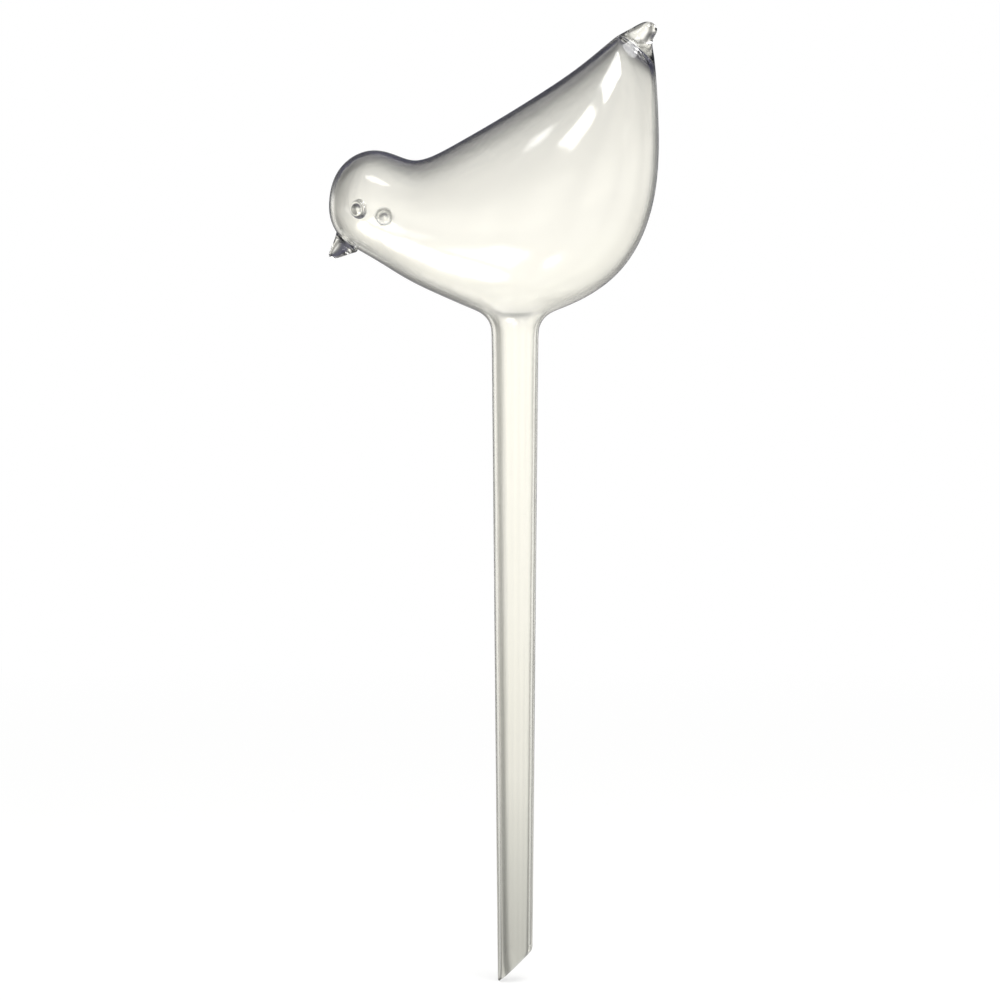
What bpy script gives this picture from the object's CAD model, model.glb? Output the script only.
# %% [markdown]
# # A clear bird that waters a plant
# The object is one blown plastic moulding: a hollow bird on a long hollow stem with a slanting open tip.
# It is filled with water and its stem is pushed into a pot. Everything here is in metres, in the frame of
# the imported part: +Z runs up the stem, the beak points towards -X, and the origin is level with its tip.

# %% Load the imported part
import math

import bmesh
import bpy
import numpy as np
from mathutils import Matrix, Vector
from mathutils.bvhtree import BVHTree


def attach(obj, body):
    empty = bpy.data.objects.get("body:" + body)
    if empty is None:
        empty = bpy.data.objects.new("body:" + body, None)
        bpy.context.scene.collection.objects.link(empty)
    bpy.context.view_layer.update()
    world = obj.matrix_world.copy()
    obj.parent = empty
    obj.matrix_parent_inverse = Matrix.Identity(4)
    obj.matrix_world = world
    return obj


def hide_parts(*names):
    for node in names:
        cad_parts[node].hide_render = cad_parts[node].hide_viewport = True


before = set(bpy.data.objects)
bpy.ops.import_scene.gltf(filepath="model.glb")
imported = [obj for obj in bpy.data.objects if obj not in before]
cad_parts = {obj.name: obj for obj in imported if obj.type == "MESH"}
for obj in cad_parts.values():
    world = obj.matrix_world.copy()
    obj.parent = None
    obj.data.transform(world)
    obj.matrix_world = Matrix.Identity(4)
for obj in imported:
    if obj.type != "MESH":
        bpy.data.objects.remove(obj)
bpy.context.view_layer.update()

scene = bpy.context.scene
mm = 0.001
print("CAD nodes:", sorted(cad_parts))

# %% [markdown]
# ## The camera
# The far eye shows through the body beside the near one. That gives the view: level, and turned 14 degrees
# from square towards the tail. A long lens, about eight bird lengths away, keeps the stem's sides nearly
# parallel. The camera comes first, so that each piece can be compared with the photograph from the start.

# %% Place the camera
view_turn = math.radians(14)
view_distance = 850 * mm
view_height = 145.2 * mm
view_left_step = 4.54 * mm
field_width = 302.9 * mm
sensor_width = 36.0

forward = Vector((-math.sin(view_turn), math.cos(view_turn), 0))
rightward = Vector((math.cos(view_turn), math.sin(view_turn), 0))
bpy.ops.object.camera_add(
    location=Vector((0, 0, view_height)) - forward * view_distance - rightward * view_left_step,
    rotation=(math.radians(90), 0, view_turn),
)
camera = bpy.context.object
camera.data.sensor_width = sensor_width
camera.data.lens = sensor_width * view_distance / field_width
scene.camera = camera
print(f"lens {camera.data.lens:.1f} mm, camera at {[round(c, 3) for c in camera.location]}")

# %% [markdown]
# ## The bird's outline
# A blown form has no flat or edge, so a row of oval sections from the head to the tail holds its shape.
# Each has a top point and a bottom point on the outline and a half width, as shares of the bird's length,
# height and width. A cubic spline runs through them, so that rings can be taken wherever the mesh needs
# them. Its first stretch leaves the head's front square to the way it faces, which rounds the head.

# %% Sizes of the bird and the stem
bird_length = 102.4 * mm
bird_height = 89.0 * mm
bird_width = 52.9 * mm
stem_setback = 58.2 * mm
stem_length = 199.8 * mm
stem_tip_radius = 5.2 * mm
stem_top_radius = 7.1 * mm
neck_radius = 7.0 * mm
wall = 1.2 * mm
full_turn = 2 * math.pi

# Each row holds a top point along and up, a bottom point along and up, and a half width.
body_shares = [
    (0.016, 0.494, 0.021, 0.308, 0.146),
    (0.054, 0.556, 0.066, 0.263, 0.227),
    (0.127, 0.592, 0.137, 0.216, 0.268),
    (0.200, 0.574, 0.195, 0.175, 0.292),
    (0.273, 0.549, 0.263, 0.130, 0.338),
    (0.394, 0.600, 0.380, 0.068, 0.415),
    (0.530, 0.682, 0.540, 0.008, 0.485),
    (0.656, 0.765, 0.720, 0.043, 0.500),
    (0.753, 0.836, 0.885, 0.163, 0.450),
    (0.821, 0.896, 0.977, 0.373, 0.346),
    (0.868, 0.941, 0.998, 0.631, 0.202),
    (0.895, 0.961, 0.988, 0.865, 0.072),
]
tail_shares = [
    (0.935, 0.984, 0.981, 0.913, 0.056),
    (0.963, 0.996, 0.984, 0.940, 0.050),
    (0.984, 0.990, 0.995, 0.961, 0.028),
]
head_front_share = (0.0, 0.405)
tail_end_share = (0.994, 0.977)


def bird_point(along_share, up_share):
    """A point of the bird's middle plane."""
    return Vector((along_share * bird_length - stem_setback, 0, up_share * bird_height + stem_length))


# %% A smooth line through the sections
def smooth_line(places, rows, start_way):
    """The cubic spline through rows of numbers, one row at each place, that starts with a given way."""
    places = np.array(places)
    rows = np.array(rows)
    gaps = np.diff(places)
    ways = np.diff(rows, axis=0) / gaps[:, None]
    matrix = np.eye(len(places))
    right = np.zeros_like(rows)
    matrix[0, :2] = 2 * gaps[0], gaps[0]
    right[0] = 6 * (ways[0] - start_way)
    for i in range(1, len(places) - 1):
        matrix[i, i - 1:i + 2] = gaps[i - 1], 2 * (gaps[i - 1] + gaps[i]), gaps[i]
        right[i] = 6 * (ways[i] - ways[i - 1])
    bends = np.linalg.solve(matrix, right)

    def at(place):
        i = min(max(np.searchsorted(places, place) - 1, 0), len(gaps) - 1)
        ahead = place - places[i]
        start = ways[i] - gaps[i] * (2 * bends[i] + bends[i + 1]) / 6
        curl = (bends[i + 1] - bends[i]) / gaps[i]
        return rows[i] + start * ahead + bends[i] * ahead ** 2 / 2 + curl * ahead ** 3 / 6

    return at


def section_row(top, bottom, half_width):
    """One section as plain numbers."""
    return [top.x, top.z, bottom.x, bottom.z, half_width]


front = bird_point(*head_front_share)
tail_end = bird_point(*tail_end_share)
sections = [section_row(front, front, 0)]
for top_along, top_up, bottom_along, bottom_up, width in body_shares + tail_shares:
    top = bird_point(top_along, top_up)
    bottom = bird_point(bottom_along, bottom_up)
    sections.append(section_row(top, bottom, width * bird_width))
sections.append(section_row(tail_end, tail_end, 0))

section_places = [0.0]
for here, ahead in zip(sections, sections[1:]):
    top_step = math.dist(here[:2], ahead[:2])
    bottom_step = math.dist(here[2:4], ahead[2:4])
    section_places.append(section_places[-1] + math.sqrt((top_step + bottom_step) / 2))

round_start = 1.2       # how much faster than the first chord the outline spreads from the head's front
first = np.array(sections[1])
middle_way = np.array([(first[0] + first[2]) / 2 - front.x, (first[1] + first[3]) / 2 - front.z])
middle_way /= np.linalg.norm(middle_way)
start_way = (first - np.array(sections[0])) * round_start / section_places[1]
for k in (0, 2):
    start_way[k:k + 2] -= middle_way * start_way[k:k + 2].dot(middle_way)
outline = smooth_line(section_places, sections, start_way)
print(f"{len(sections)} sections along a line of {section_places[-1]:.3f}")

# %% [markdown]
# ## Rings for the skin
# The skin could be sculpted from a sphere, but then it would follow the photograph only by luck. Here it is
# a stack of circles, each added at its place, tilt and size and bridged to the one before. Over the stem
# seven rings lie evenly about the axis, because a round opening for the neck is made between them. The
# inner skin has the same rings, one wall's thickness further in, and ends before the solid tail tip.

# %% Choose the rings
ring_sides = 32
stem_sides = 24
neck_half_count = 3             # rings on each side of the stem's axis, and as many columns of faces
neck_ring_step = 5.0 * mm
neck_search_rows = (4, 10)      # a section well in front of the stem and one well behind it
neck_search_halvings = 40
head_ring_count = 15
pole_ring_shares = (0.2, 0.55)  # of the way from the head's front to the first head ring
back_ring_count = 12
tail_ring_count = 8
travel_step_share = 0.001       # of the whole line, to measure which way the outline runs
tail_joint_place = section_places[len(body_shares)]


def place_over(bottom_x):
    """The place along the outline where the belly line passes over a given x."""
    low, high = [section_places[row] for row in neck_search_rows]
    for _ in range(neck_search_halvings):
        middle = (low + high) / 2
        if outline(middle)[2] < bottom_x:
            low = middle
        else:
            high = middle
    return middle


neck_places = [place_over(i * neck_ring_step) for i in range(-neck_half_count, neck_half_count + 1)]
head_places = list(np.linspace(0, neck_places[0], head_ring_count + 2)[1:-1])
pole_places = [head_places[0] * share for share in pole_ring_shares]
back_places = list(np.linspace(neck_places[-1], tail_joint_place, back_ring_count + 1)[1:])
tail_places = list(np.linspace(tail_joint_place, section_places[-1], tail_ring_count + 2)[1:-1])
ring_places = pole_places + head_places + neck_places + back_places
print(f"{len(ring_places)} rings on the body, {len(tail_places)} on the tail tip")


def swell(sides):
    """How much larger a ring is drawn, because subdivision draws a ring of straight edges in."""
    return 3 / (2 + math.cos(full_turn / sides))


def ring_at(place, inset):
    """Centre, side and rise of the oval ring at a place, one inset inside the outer skin."""
    step = section_places[-1] * travel_step_share
    here = outline(place)
    travel = outline(place + step) - outline(max(place - step, 0))
    top = Vector((here[0], 0, here[1]))
    bottom = Vector((here[2], 0, here[3]))
    middle_travel = Vector(((travel[0] + travel[2]) / 2, 0, (travel[1] + travel[3]) / 2))
    lean = math.atan2(travel[4], middle_travel.length)
    moved = []
    for point, way in ((top, travel[0:2]), (bottom, travel[2:4])):
        inward = Vector((-way[1], 0, way[0])).normalized()
        towards = (top + bottom) / 2 + middle_travel.normalized() * inset - point
        if inward.dot(towards) < 0:
            inward.negate()
        moved.append(point + inward * inset)
    half_width = here[4] - inset * math.cos(lean)
    drawn = swell(ring_sides)
    return (moved[0] + moved[1]) / 2, Vector((0, half_width * drawn, 0)), (moved[0] - moved[1]) / 2 * drawn


# %% Helpers for a mesh in edit mode
def in_edit_mode(name):
    """A new empty mesh object, open in edit mode with nothing selected."""
    bpy.ops.object.select_all(action="DESELECT")
    mesh = bpy.data.meshes.new(name)
    piece = bpy.data.objects.new(name, mesh)
    scene.collection.objects.link(piece)
    bpy.context.view_layer.objects.active = piece
    piece.select_set(True)
    bpy.ops.object.mode_set(mode="EDIT")
    bpy.ops.mesh.select_mode(type="VERT")
    return piece


def select_verts(piece, wanted):
    """Selects exactly the vertices that a test wants, and the edges and faces between them."""
    mesh = bmesh.from_edit_mesh(piece.data)
    mesh.verts.ensure_lookup_table()
    for item in (*mesh.faces, *mesh.edges, *mesh.verts):
        item.select = False
    for vertex in mesh.verts:
        if wanted(vertex):
            vertex.select = True
    mesh.select_flush_mode()
    bmesh.update_edit_mesh(piece.data)
    return mesh


# %% Helpers that build a form from rings
def add_ring(piece, centre, side, rise, sides):
    """Adds a round ring to the mesh in edit mode and stretches it to its place."""
    bpy.ops.mesh.primitive_circle_add(vertices=sides, radius=1, fill_type="NOTHING", location=(0, 0, 0))
    stretch = Matrix((side, rise, side.cross(rise).normalized())).transposed().to_4x4()
    stretch.translation = centre
    mesh = bmesh.from_edit_mesh(piece.data)
    bmesh.ops.transform(mesh, matrix=stretch, verts=[vertex for vertex in mesh.verts if vertex.select])
    bmesh.update_edit_mesh(piece.data)


def close_ring(piece, start, sides, tip):
    """Closes the ring of vertices that starts at an index with a fan of faces round a tip."""
    select_verts(piece, lambda vertex: start <= vertex.index < start + sides)
    bpy.ops.mesh.edge_face_add()
    bpy.ops.mesh.poke()
    mesh = bmesh.from_edit_mesh(piece.data)
    mesh.verts.ensure_lookup_table()
    mesh.verts[-1].co = tip
    bmesh.update_edit_mesh(piece.data)


def ring_form(name, rings, sides, start_tip, end_tip):
    """A closed form through rings, left open in edit mode."""
    piece = in_edit_mode(name)
    for count, ring in enumerate(rings):
        add_ring(piece, *ring, sides)
        if count:
            first_index = (count - 1) * sides
            select_verts(piece, lambda vertex: vertex.index >= first_index)
            bpy.ops.mesh.bridge_edge_loops()
    close_ring(piece, (len(rings) - 1) * sides, sides, end_tip)
    close_ring(piece, 0, sides, start_tip)
    bpy.ops.mesh.select_all(action="SELECT")
    bpy.ops.mesh.normals_make_consistent(inside=False)
    return piece


def subdivide(piece, levels):
    """Leaves edit mode and rounds the piece with a subdivision surface, applied."""
    bpy.ops.object.mode_set(mode="OBJECT")
    rounding = piece.modifiers.new("Rounding", "SUBSURF")
    rounding.levels = levels
    rounding.render_levels = levels
    bpy.ops.object.modifier_apply(modifier=rounding.name)
    return piece


# %% [markdown]
# ## The neck
# Where the stem meets the belly the moulding has one generous rounding, with no seam. A Boolean union would
# leave a crease there, so the mesh is opened instead. A square patch of faces under the belly is deleted,
# its edge loop is set out as a circle, and the loop is extruded in steps down the rounding and the stem.
# The rounding's own shape is that of a ball which rolls round the stem and touches the belly.

# %% Sizes of the neck and the lower stem
stem_bottom = -12.0 * mm        # past the tip, to be cut off on the slant
stem_rings = 12
stem_first_gap = 4.0 * mm       # from the end of the rounding to the first ring below it
neck_hole_radius = 17.0 * mm
neck_arc_shares = (1.0, 0.72, 0.46, 0.22, 0.0)
ball_search_steps = 32
ball_search_start = 0.1
ball_search_overrun = 2.0 * mm
belly_ray_drop = 20.0 * mm      # how far below the bird the rays start that find its belly
patch_slack = 0.05              # of a column, so that the patch takes its outer columns whole
patch_slope = -0.3              # only faces that look down this much belong to the patch


def stem_radius(height):
    """Outside radius of the tapering stem."""
    return stem_tip_radius + (stem_top_radius - stem_tip_radius) * height / stem_length


def turn_of(vertex):
    """The turn of a vertex about the stem's axis."""
    return math.atan2(vertex.co.y, vertex.co.x) % full_turn


def belly_point(tree, turn, distance):
    """The point of the belly's underside at a turn and a distance from the stem's axis."""
    start = Vector((math.cos(turn) * distance, math.sin(turn) * distance, stem_length - belly_ray_drop))
    return tree.ray_cast(start, Vector((0, 0, 1)))[0]


def neck_profile(tree, turn, inset):
    """The points down the neck's rounding at one turn, from the belly's skin to the stem's."""
    foot = stem_radius(stem_length) - inset
    ball = neck_radius + inset
    reach = foot + ball
    best = None
    for step in range(ball_search_steps + 1):
        share = ball_search_start + (1 - ball_search_start) * step / ball_search_steps
        distance = foot + (ball + ball_search_overrun) * share
        lift = math.sqrt(max(ball ** 2 - (reach - distance) ** 2, 0))
        height = belly_point(tree, turn, distance).z - lift
        if best is None or height < best[0]:
            best = height, math.atan2(lift, reach - distance), distance
    centre_height, contact, distance = best
    points = [belly_point(tree, turn, (neck_hole_radius + distance) / 2)]
    for share in neck_arc_shares:
        angle = contact * share
        across = (reach - ball * math.cos(angle)) * swell(stem_sides)
        height = centre_height + ball * math.sin(angle)
        points.append(Vector((math.cos(turn) * across, math.sin(turn) * across, height)))
    return points


# %% Open the belly and draw out the neck and the stem
def draw_out_stem(piece, inset):
    """Opens the belly of a skin in edit mode and extrudes its neck and stem."""
    mesh = bmesh.from_edit_mesh(piece.data)
    tree = BVHTree.FromBMesh(mesh)
    patch_half_length = neck_half_count * neck_ring_step
    patch_turn = full_turn / ring_sides * (neck_half_count + patch_slack)
    patch_half_width = math.sin(patch_turn) * (bird_width / 2 - inset)
    bpy.ops.mesh.select_mode(type="FACE")
    for face in mesh.faces:
        centre = face.calc_center_median()
        near = abs(centre.x) < patch_half_length and abs(centre.y) < patch_half_width
        face.select = near and face.normal.z < patch_slope
    bmesh.update_edit_mesh(piece.data)
    chosen = sum(face.select for face in mesh.faces)
    bpy.ops.mesh.delete(type="FACE")
    bpy.ops.mesh.select_mode(type="VERT")
    mesh = select_verts(piece, lambda vertex: vertex.is_boundary)
    loop = sorted([vertex for vertex in mesh.verts if vertex.select], key=turn_of)
    print(f"{piece.name}: {chosen} faces deleted, {len(loop)} vertices round the opening")
    turns = [full_turn * i / stem_sides for i in range(stem_sides)]
    start = min(range(len(loop)), key=lambda i: abs(loop[i].co.y) - loop[i].co.x)
    loop = loop[start:] + loop[:start]
    for vertex, turn in zip(loop, turns):
        vertex.co = belly_point(tree, turn, neck_hole_radius)
    bmesh.update_edit_mesh(piece.data)
    profiles = [neck_profile(tree, turn, inset) for turn in turns]
    stem_start = min(profile[-1].z for profile in profiles) - stem_first_gap
    heights = np.linspace(stem_start, stem_bottom, stem_rings)
    rows = [list(row) for row in zip(*profiles)]
    for height in heights:
        across = (stem_radius(height) - inset) * swell(stem_sides)
        rows.append([Vector((math.cos(turn) * across, math.sin(turn) * across, height)) for turn in turns])
    for row in rows:
        bpy.ops.mesh.extrude_region_move()
        mesh = bmesh.from_edit_mesh(piece.data)
        for vertex in mesh.verts:
            if vertex.select:
                vertex.co = row[round(turn_of(vertex) / full_turn * stem_sides) % stem_sides]
        bmesh.update_edit_mesh(piece.data)


# %% Build the outer and the inner skin
skin_levels = 2
outer_rings = [ring_at(place, 0) for place in ring_places + tail_places]
outer_skin = ring_form("clear_moulding", outer_rings, ring_sides, front, tail_end)
draw_out_stem(outer_skin, 0)
subdivide(outer_skin, skin_levels)

inner_end_gap = 0.9 * mm
inner_tip_share = 0.6
inner_rings = [ring_at(place, wall) for place in ring_places[:-1]]
last_centre, last_side, last_rise = ring_at(ring_places[-1], wall)
inner_back = (inner_rings[-1][0] - last_centre).normalized()
inner_rings.append((last_centre + inner_back * inner_end_gap, last_side, last_rise))
inner_front = front + Vector((middle_way[0], 0, middle_way[1])) * wall
inner_tip = last_centre + inner_back * inner_end_gap * inner_tip_share
inner_skin = ring_form("inner_skin", inner_rings, ring_sides, inner_front, inner_tip)
draw_out_stem(inner_skin, wall)
subdivide(inner_skin, skin_levels)
print(f"outer {len(outer_skin.data.polygons)} faces, inner {len(inner_skin.data.polygons)} faces")

# %% [markdown]
# ## One closed wall
# The faces of the inner skin are turned over, so that they look into the hollow. Then the two skins are
# joined and the open ends of their stems are bridged, so that the moulding is one closed wall of clear
# plastic. Light bends at every surface in turn, as it does in the real one. A Solidify modifier would make a
# wall in one step, but it can cross itself where the tail is narrow.

# %% Join the skins
def activate(piece, *others):
    """Selects pieces only, with the first one active."""
    bpy.ops.object.select_all(action="DESELECT")
    for other in (piece, *others):
        other.select_set(True)
    bpy.context.view_layer.objects.active = piece


def measured(piece):
    """A few words on a mesh: its faces, its open or crossed edges and its volume."""
    mesh = bmesh.new()
    mesh.from_mesh(piece.data)
    faults = sum(not (edge.is_manifold and edge.is_contiguous) for edge in mesh.edges)
    volume = mesh.calc_volume(signed=True) / mm ** 3
    mesh.free()
    return f"{piece.name}: {len(piece.data.polygons)} faces, {faults} faulty edges, {volume:.0f} mm3"


activate(inner_skin)
bpy.ops.object.mode_set(mode="EDIT")
bpy.ops.mesh.select_all(action="SELECT")
bpy.ops.mesh.flip_normals()
bpy.ops.object.mode_set(mode="OBJECT")
activate(outer_skin, inner_skin)
bpy.ops.object.join()
moulding = outer_skin
bpy.ops.object.mode_set(mode="EDIT")
bpy.ops.mesh.select_mode(type="VERT")
select_verts(moulding, lambda vertex: vertex.is_boundary)
bpy.ops.mesh.bridge_edge_loops()
bpy.ops.object.mode_set(mode="OBJECT")
print(measured(moulding))

# %% [markdown]
# ## The beak
# The beak is a small solid hook that points down and forwards, pulled from the head's skin. Its sides are
# hollowed towards the point. It is a stack of rings as the body is, which thin and sag along the hook, with
# a wider ring at its root that runs into the head's skin like the fillet of a real moulding. It is joined
# by Boolean union, because it meets the head in a visible corner.

# %% Model the beak
beak_length = 7.4 * mm
beak_root_height = 8.8 * mm
beak_root_width = 6.2 * mm
beak_drop = math.radians(38.5)
beak_sides = 24
beak_centre_share = (0.047, 0.282)
beak_tip_ahead = 0.985
beak_tip_sag = 0.045
nub_levels = 2
# Each row holds how far a ring lies ahead, how far it sags, its height and its width.
beak_shares = [
    (-0.22, 0.00, 0.96, 0.96),
    (-0.05, 0.00, 1.08, 1.16),
    (0.04, 0.01, 1.00, 1.02),
    (0.18, 0.03, 0.84, 0.86),
    (0.37, 0.06, 0.68, 0.72),
    (0.62, 0.08, 0.49, 0.56),
    (0.80, 0.08, 0.34, 0.42),
    (0.92, 0.06, 0.20, 0.26),
]
beak_ahead = Vector((-math.cos(beak_drop), 0, -math.sin(beak_drop)))
beak_sag = Vector((math.sin(beak_drop), 0, -math.cos(beak_drop)))
beak_centre = bird_point(*beak_centre_share)
beak_rings = []
for distance, sag, height, width in beak_shares:
    centre = beak_centre + beak_ahead * beak_length * distance + beak_sag * beak_length * sag
    side = Vector((0, width * beak_root_width / 2 * swell(beak_sides), 0))
    beak_rings.append((centre, side, beak_sag * (-height * beak_root_height / 2 * swell(beak_sides))))
beak_point = beak_centre + beak_ahead * beak_length * beak_tip_ahead + beak_sag * beak_length * beak_tip_sag
beak = ring_form("beak_form", beak_rings, beak_sides, beak_rings[0][0], beak_point)
subdivide(beak, nub_levels)
print(measured(beak))

# %% [markdown]
# ## The eyes
# Each eye is a raised round boss with a softened rim and a dimple, and a small fillet where it leaves the
# cheek. A profile of ring sizes turned about the cheek's normal makes it. Its place is found on the skin
# itself: a ray from outside, aimed across the head, gives the point and the way that the cheek faces there.

# %% Model the eyes
eye_radius = 2.6 * mm
eye_stand = 1.5 * mm
eye_sides = 24
eye_centre = bird_point(0.127, 0.374)
# Each row holds a ring's radius and how far it stands out of the cheek.
eye_profile_shares = [
    (1.10, -0.62),
    (1.20, -0.20),
    (1.09, 0.04),
    (1.01, 0.26),
    (0.99, 0.58),
    (0.93, 0.84),
    (0.80, 0.98),
    (0.64, 0.98),
    (0.50, 0.86),
    (0.36, 0.76),
    (0.18, 0.70),
]
skin_mesh = bmesh.new()
skin_mesh.from_mesh(moulding.data)
skin_tree = BVHTree.FromBMesh(skin_mesh)
skin_mesh.free()


def make_eye(name, way):
    """One eye on the cheek that lies in the given way from the head's middle."""
    outside = eye_centre + Vector((0, way * bird_width, 0))
    point, normal = skin_tree.ray_cast(outside, Vector((0, -way, 0)))[:2]
    side = normal.cross(Vector((0, 0, 1))).normalized()
    rise = normal.cross(side)
    rings = []
    for across, out in eye_profile_shares:
        size = eye_radius * across * swell(eye_sides)
        rings.append((point + normal * eye_stand * out, side * size, rise * size))
    end = point + normal * eye_stand * eye_profile_shares[-1][1]
    eye = ring_form(name, rings, eye_sides, rings[0][0], end)
    return subdivide(eye, nub_levels)


eyes = [make_eye("left_eye_form", -1), make_eye("right_eye_form", 1)]
print(*[measured(eye) for eye in eyes], sep="\n")

# %% [markdown]
# ## The slanting mouth
# The stem is cut at 45 degrees, so that it slips into the soil and can't be blocked flat. The heel of the
# cut is softened by a bend, and its tip is left blunt by one wall's thickness. The cutter is swept across
# and then down from a short line: the level of the tip, the slope, the bend and the heel's last stretch. A
# Boolean difference takes the stem's end off.

# %% Model the cutter
cut_angle = math.radians(45)
heel_edge_angle = math.radians(15)
heel_radius = 4.0 * mm
heel_inset = 0.6 * mm
tip_land = wall
cutter_size = 30 * mm
heel_steps = 8


def slope_at(angle):
    """The way that runs up towards the tail side, at an angle from the stem's axis."""
    return Vector((math.sin(angle), 0, math.cos(angle)))


foot = Vector((tip_land - stem_tip_radius, 0, 0))
slope = slope_at(cut_angle)
corner = foot + slope * ((stem_tip_radius - heel_inset - foot.x) / slope.x)
bend_start = corner - slope * (heel_radius * math.tan((cut_angle - heel_edge_angle) / 2))
bend_centre = bend_start + Vector((-math.cos(cut_angle), 0, math.sin(cut_angle))) * heel_radius
cut_line = [foot - Vector((cutter_size, 0, 0)), foot]
for step in range(heel_steps + 1):
    angle = cut_angle + (heel_edge_angle - cut_angle) * step / heel_steps
    cut_line.append(bend_centre + Vector((math.cos(angle), 0, -math.sin(angle))) * heel_radius)
cut_line.append(cut_line[-1] + slope_at(heel_edge_angle) * cutter_size)

cutter = in_edit_mode("mouth_cutter")
mesh = bmesh.from_edit_mesh(cutter.data)
line = [mesh.verts.new(point + Vector((0, -cutter_size / 2, 0))) for point in cut_line]
for here, ahead in zip(line, line[1:]):
    mesh.edges.new((here, ahead))
bmesh.update_edit_mesh(cutter.data)
bpy.ops.mesh.select_all(action="SELECT")
bpy.ops.mesh.extrude_region_move(TRANSFORM_OT_translate={"value": (0, cutter_size, 0)})
bpy.ops.mesh.select_all(action="SELECT")
below = {"value": (cutter_size, 0, -cutter_size)}
bpy.ops.mesh.extrude_region_move(TRANSFORM_OT_translate=below)
bpy.ops.mesh.select_all(action="SELECT")
bpy.ops.mesh.normals_make_consistent(inside=False)
bpy.ops.object.mode_set(mode="OBJECT")
print(measured(cutter))

# %% Join the beak and the eyes, and cut the mouth
def boolean(piece, tool, operation):
    """Applies one exact Boolean and deletes the tool."""
    activate(piece)
    change = piece.modifiers.new("Boolean", "BOOLEAN")
    change.operation = operation
    change.solver = "EXACT"
    change.object = tool
    bpy.ops.object.modifier_apply(modifier=change.name)
    bpy.data.objects.remove(tool)
    print(operation.lower(), measured(piece))


boolean(moulding, beak, "UNION")
for eye in eyes:
    boolean(moulding, eye, "UNION")
boolean(moulding, cutter, "DIFFERENCE")
crease_angle = math.radians(38)
activate(moulding)
bpy.ops.object.shade_smooth_by_angle(angle=crease_angle)

# %% [markdown]
# ## Shader maths in Python
# A finish is easier to read as a formula than as a list of links. This small class wraps a shader socket, so
# that sums and products of sockets add Math nodes by themselves. Every other node comes from one method.

# %% A small class for shader formulas
class Signal:
    """A socket of a node tree that adds, multiplies and divides like a number."""

    def __init__(self, sheet, socket):
        self.sheet = sheet
        self.socket = socket

    def maths(self, operation, *values):
        node = self.sheet.add("ShaderNodeMath", dict(enumerate(values)), {"operation": operation})
        return Signal(self.sheet, node.outputs[0])

    def __add__(self, other):
        return self.maths("ADD", self, other)

    def __mul__(self, other):
        return self.maths("MULTIPLY", self, other)

    def __truediv__(self, other):
        return self.maths("DIVIDE", self, other)

    def __pow__(self, other):
        return self.maths("POWER", self, other)

    def clamped(self, low, high):
        return self.maths("MAXIMUM", self.maths("MINIMUM", self, high), low)


class Sheet:
    """A node tree that is emptied and filled again."""

    def __init__(self, tree):
        self.tree = tree
        tree.nodes.clear()

    def add(self, kind, values=None, settings=None):
        """A node with its settings made first, then its sockets given a value or a link."""
        node = self.tree.nodes.new(kind)
        for name, value in (settings or {}).items():
            setattr(node, name, value)
        for name, value in (values or {}).items():
            if isinstance(value, Signal):
                self.tree.links.new(value.socket, node.inputs[name])
            else:
                node.inputs[name].default_value = value
        return node

    def signal(self, kind, output, values=None, settings=None):
        """One output of a new node, ready for maths."""
        return Signal(self, self.add(kind, values, settings).outputs[output])

    def parts(self, vector):
        """The three parts of a vector."""
        node = self.add("ShaderNodeSeparateXYZ", {"Vector": vector})
        return [Signal(self, output) for output in node.outputs]

    def ramp(self, place, stops):
        """The colour at a place along a row of stops, each a position and a colour."""
        node = self.add("ShaderNodeValToRGB", {"Fac": place})
        elements = node.color_ramp.elements
        while len(elements) < len(stops):
            elements.new(1.0)
        for element, (position, colour) in zip(elements, stops):
            element.position = position
            element.color = (*colour, 1.0)
        return Signal(self, node.outputs[0])


# %% [markdown]
# ## The clear plastic
# The plastic is clear with a faint ivory tint. It transmits all light and bends it as styrene does. The
# blown skin isn't perfectly even: slow waves from the flow of the hot plastic and fine lines drawn along
# the stem bend what shows through it. They are heights in a Bump node, too shallow to be worth any
# geometry. A slight haze, uneven too, gives the highlights the soft edges that the photograph shows.

# %% Make the material
wave_share = 0.35
line_share = 0.05
bump_depth = 0.6 * mm
haze_least = 0.07
haze_range = 0.08
ivory = (0.985, 0.98, 0.955, 1.0)

clear = bpy.data.materials.new("clear_plastic")
clear.use_nodes = True
sheet = Sheet(clear.node_tree)
place = sheet.signal("ShaderNodeTexCoord", "Object")
drawn_place = sheet.signal("ShaderNodeMapping", 0, {"Vector": place, "Scale": (1.0, 1.0, 0.06)})
waves = sheet.signal("ShaderNodeTexNoise", 0, {"Vector": place, "Scale": 55.0, "Detail": 1.0})
lines = sheet.signal("ShaderNodeTexNoise", 0, {"Vector": drawn_place, "Scale": 650.0, "Detail": 2.0})
haze = sheet.signal("ShaderNodeTexNoise", 0, {"Vector": place, "Scale": 120.0, "Detail": 3.0})
height = waves * wave_share + lines * line_share
bump = sheet.signal("ShaderNodeBump", 0, {"Strength": 0.5, "Distance": bump_depth, "Height": height})
plastic = sheet.signal("ShaderNodeBsdfPrincipled", 0, {
    "Base Color": ivory,
    "Roughness": haze * haze_range + haze_least,
    "IOR": 1.5,
    "Transmission Weight": 1.0,
    "Normal": bump,
})
sheet.add("ShaderNodeOutputMaterial", {"Surface": plastic})
for piece in (moulding, *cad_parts.values()):
    piece.data.materials.clear()
    piece.data.materials.append(clear)
print(f"{clear.name}: {len(clear.node_tree.nodes)} nodes")

# %% [markdown]
# ## Where the piece belongs
# The moulding stands still, so it rides on the root body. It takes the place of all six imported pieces: the
# real wall has no boundary inside it, and six clear solids that touch would show one at each joint.

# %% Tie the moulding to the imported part
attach(moulding, "root")
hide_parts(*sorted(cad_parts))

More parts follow.
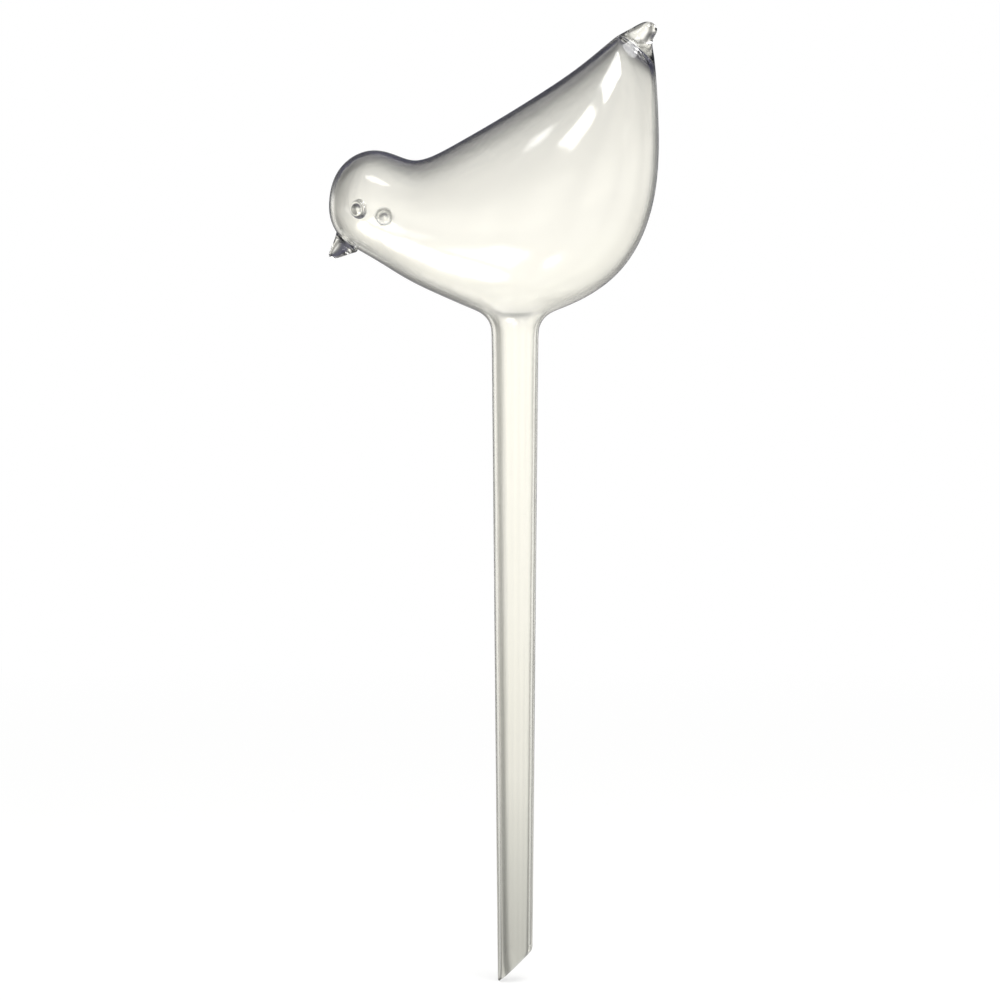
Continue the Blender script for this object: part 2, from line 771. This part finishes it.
# %% [markdown]
# ## The studio
# The photograph has a plain white ground, but darker surroundings show as grey bands near every edge of the
# clear wall. A real studio does this with dark cards beside a light wall. Here one shader tells rays apart.
# The camera sees white. Rays that have passed through the plastic see a pale band round the horizon that
# darkens upwards, with eight light walls round the room and a dark gap between each two. Rays turned back by
# the gloss see a room that is dark above and light below. A ray through hazy plastic counts as both, so the
# rays that have passed through are picked out last. Everything else is lit by an even soft light.

# %% Helpers that tell rays apart
light_walls = 8
wall_slope = 1.2
wall_level = 0.9
darkest_gap = 0.35


def wall_light(across, along):
    """How bright it is round the room, where light walls have dark gaps between them."""
    turn = across.maths("ARCTAN2", across, along) + view_turn / 2
    wall = (across.maths("COSINE", turn * light_walls) * wall_slope + wall_level).clamped(0.0, 1.0)
    return wall * (1 - darkest_gap) + darkest_gap


def choose(sheet, ray, otherwise, chosen):
    """One shader for a kind of ray, and another for the rest."""
    return sheet.signal("ShaderNodeMixShader", 0, {0: ray, 1: otherwise, 2: chosen})


def by_ray(sheet, plain, gloss, through):
    """A shader for rays turned back by gloss, one for rays through the plastic, and a plain one."""
    lit = choose(sheet, sheet.signal("ShaderNodeLightPath", "Is Glossy Ray"), plain, gloss)
    return choose(sheet, sheet.signal("ShaderNodeLightPath", "Is Transmission Ray"), lit, through)


def background(sheet, colour, strength):
    """Light of one colour from all round."""
    return sheet.signal("ShaderNodeBackground", 0, {"Color": colour, "Strength": strength})


# %% Make the world
through_strength = 1.18
plain_strength = 0.9

world = bpy.data.worlds.new("studio")
scene.world = world
world.use_nodes = True
sheet = Sheet(world.node_tree)
across, along, up = sheet.parts(sheet.signal("ShaderNodeTexCoord", "Generated"))
rise_share = up * 0.5 + 0.5     # 0 straight down, a half at the horizon and 1 straight up
through_colour = sheet.ramp(rise_share, [
    (0.00, (0.86, 0.85, 0.80)),
    (0.47, (0.86, 0.85, 0.80)),
    (0.52, (1.00, 0.99, 0.93)),
    (0.545, (0.99, 0.98, 0.94)),
    (0.562, (0.83, 0.82, 0.79)),
    (0.582, (0.68, 0.68, 0.66)),
    (0.605, (0.30, 0.30, 0.29)),
    (0.66, (0.10, 0.10, 0.12)),
    (0.80, (0.05, 0.05, 0.09)),
    (1.00, (0.35, 0.35, 0.37)),
])
gloss_colour = sheet.ramp(rise_share, [
    (0.00, (0.90, 0.89, 0.84)),
    (0.46, (0.14, 0.14, 0.17)),
    (0.52, (0.06, 0.07, 0.10)),
    (0.80, (0.08, 0.08, 0.11)),
    (1.00, (0.35, 0.35, 0.38)),
])
lit = by_ray(
    sheet,
    background(sheet, (1, 1, 1, 1), plain_strength),
    background(sheet, gloss_colour, 1.0),
    background(sheet, through_colour, wall_light(across, along) * through_strength),
)
white = background(sheet, (1, 1, 1, 1), 1.0)
lit = choose(sheet, sheet.signal("ShaderNodeLightPath", "Is Camera Ray"), lit, white)
sheet.add("ShaderNodeOutputWorld", {"Surface": lit})
print(f"world: {len(world.node_tree.nodes)} nodes")

# %% [markdown]
# ## The floor
# The stem's point all but touches a pale floor, which keeps its faint shadow. The floor turns to plain white
# for the camera with distance, so that no line shows where it ends. Seen through the plastic it is greyer
# near the stem, because the photographed stem darkens towards its tip, and it carries on the light walls'
# gaps. In gloss it is bright close by and dark far off, which darkens the stem's edges.

# %% Make the floor
floor_radius = 1.6
floor_sides = 96
floor_drop = 0.3 * mm           # below the stem's tip, so that the two never share a face
near_white = 0.7                # how much of the camera's view is plain white at the stem


def glow(sheet, colour, strength):
    """A surface that gives off light of one colour."""
    return sheet.signal("ShaderNodeEmission", 0, {"Color": colour, "Strength": strength})


bpy.ops.object.select_all(action="DESELECT")
bpy.ops.mesh.primitive_circle_add(
    vertices=floor_sides,
    radius=floor_radius,
    fill_type="NGON",
    location=(0, 0, -floor_drop),
)
floor = bpy.context.object
floor.name = "floor"
floor_paint = bpy.data.materials.new("floor_paint")
floor_paint.use_nodes = True
sheet = Sheet(floor_paint.node_tree)
place = sheet.signal("ShaderNodeTexCoord", "Object")
across, along, _ = sheet.parts(place)
distance = sheet.signal("ShaderNodeVectorMath", "Value", {0: place}, {"operation": "LENGTH"})
share = (distance / floor_radius).clamped(0.0, 1.0)
through_colour = sheet.ramp(share, [
    (0.05, (0.56, 0.56, 0.53)),
    (0.20, (0.72, 0.72, 0.68)),
    (0.40, (0.90, 0.89, 0.84)),
    (1.00, (1.00, 0.99, 0.92)),
])
gloss_colour = sheet.ramp(share, [
    (0.05, (0.92, 0.91, 0.85)),
    (0.20, (0.60, 0.60, 0.57)),
    (0.45, (0.20, 0.20, 0.22)),
    (1.00, (0.10, 0.10, 0.13)),
])
lit = by_ray(
    sheet,
    sheet.signal("ShaderNodeBsdfDiffuse", 0, {"Color": (0.86, 0.86, 0.84, 1)}),
    glow(sheet, gloss_colour, 1.0),
    glow(sheet, through_colour, wall_light(across, along)),
)
white_share = share ** 0.5 * (1 - near_white) + near_white
seen = sheet.signal("ShaderNodeLightPath", "Is Camera Ray") * white_share
lit = choose(sheet, seen, lit, glow(sheet, (1, 1, 1, 1), 1.0))
sheet.add("ShaderNodeOutputMaterial", {"Surface": lit})
floor.data.materials.append(floor_paint)
print(f"floor: {2 * floor_radius:.1f} m across, {len(floor_paint.node_tree.nodes)} nodes")

# %% [markdown]
# ## The lamps
# The highlights say where the photographer's lamps stood: each lies where the skin mirrors a lamp into the
# lens. So a lamp is placed by the ways that the skin mirrors at a highlight's two ends. The long streak
# under the tail is in two parts, from a high softbox and one further to the front. Two small ones make the
# highlights on the head and on the cheek.


# %% Place the softboxes
def softbox(name, start_way, end_way, distance, width, brightness):
    """An area lamp that shows in gloss as a strip from one way to another, seen from the bird."""
    aim = Vector((0, 0, stem_length + bird_height / 2))
    start = Vector(start_way).normalized() * distance
    end = Vector(end_way).normalized() * distance
    back = (start + end).normalized()
    long_way = (end - start).normalized()
    turn = Matrix((long_way.cross(back), long_way, back)).transposed()
    length = (end - start).length
    bpy.ops.object.light_add(type="AREA", location=aim + (start + end) / 2, rotation=turn.to_euler())
    lamp = bpy.context.object
    lamp.name = name
    lamp.data.shape = "RECTANGLE"
    lamp.data.size = width
    lamp.data.size_y = length
    lamp.data.energy = brightness * math.pi * width * length
    lamp.visible_camera = False
    print(f"{name}: {width * 100:.0f} by {length * 100:.0f} cm, {lamp.data.energy:.1f} W")


# Each row holds the ways to a softbox's two ends, its distance, its width and its brightness.
softboxes = {
    "high_softbox": ((0.48, -0.06, 0.90), (0.27, -0.54, 0.80), 0.80, 0.40, 9.0),
    "front_softbox": ((0.22, -0.66, 0.73), (0.04, -0.87, 0.50), 0.80, 0.26, 7.0),
    "head_softbox": ((-0.30, -0.58, 0.76), (-0.44, -0.56, 0.70), 0.70, 0.12, 5.0),
    "cheek_softbox": ((-0.80, -0.54, -0.22), (-0.85, -0.46, -0.30), 0.45, 0.10, 1.5),
}
for name, values in softboxes.items():
    softbox(name, *values)

# %% [markdown]
# ## Finish
# The colours go out as they are, without a film look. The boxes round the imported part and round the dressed
# one are written down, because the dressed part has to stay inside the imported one.

# %% Write down the boxes and finish
scene.view_settings.view_transform = "Standard"
